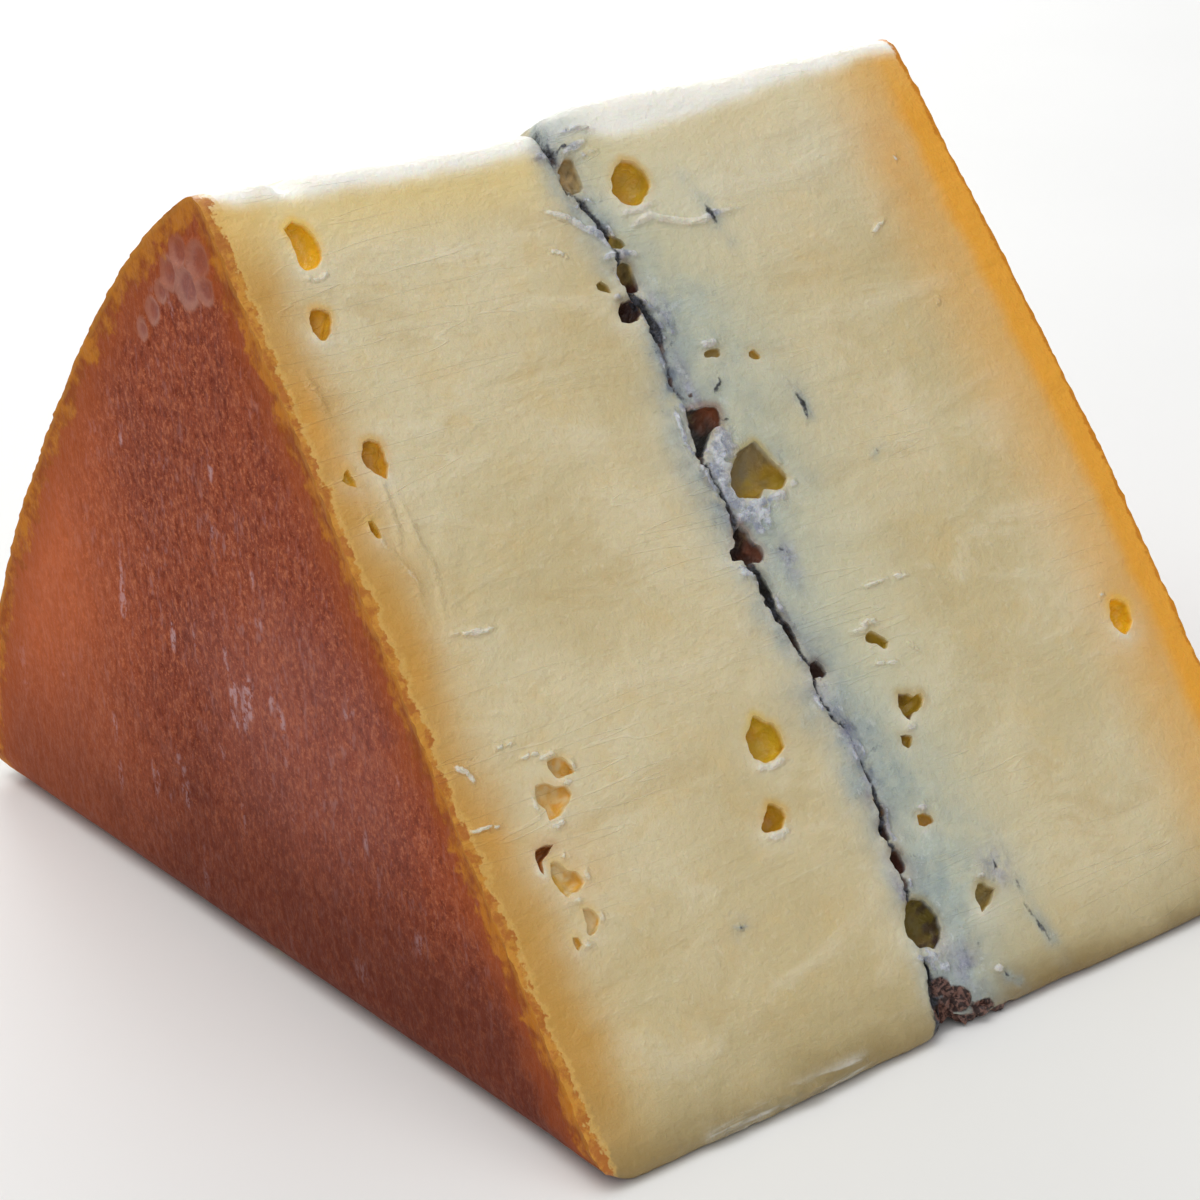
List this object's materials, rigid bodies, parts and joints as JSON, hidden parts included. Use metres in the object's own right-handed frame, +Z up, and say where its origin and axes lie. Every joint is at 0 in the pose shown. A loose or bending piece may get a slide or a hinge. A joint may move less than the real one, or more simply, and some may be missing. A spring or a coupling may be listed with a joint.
{
  "type": "cheese wedge",
  "caption": "Thick wedge of semi-soft washed-rind cheese with open eyes and a wandering line of dark ash through its middle, standing on its rim side.",
  "frame": {"origin": "centre of the bounding box on the plane that the wedge stands on", "axes": "+X along the wheel's axis, from one flat rind face to the other; +Y from the front cut's foot to the back cut's foot; +Z up to the cut tip"},
  "size_m": [0.0766, 0.0988, 0.0676],
  "materials": {
    "cheese": "satin, slightly greasy cream paste, blue-grey at the ash line and ochre under a matt reddish-brown rind"
  },
  "bodies": {
    "root": {"cheese_wedge": "cheese"}
  },
  "joints": []
}
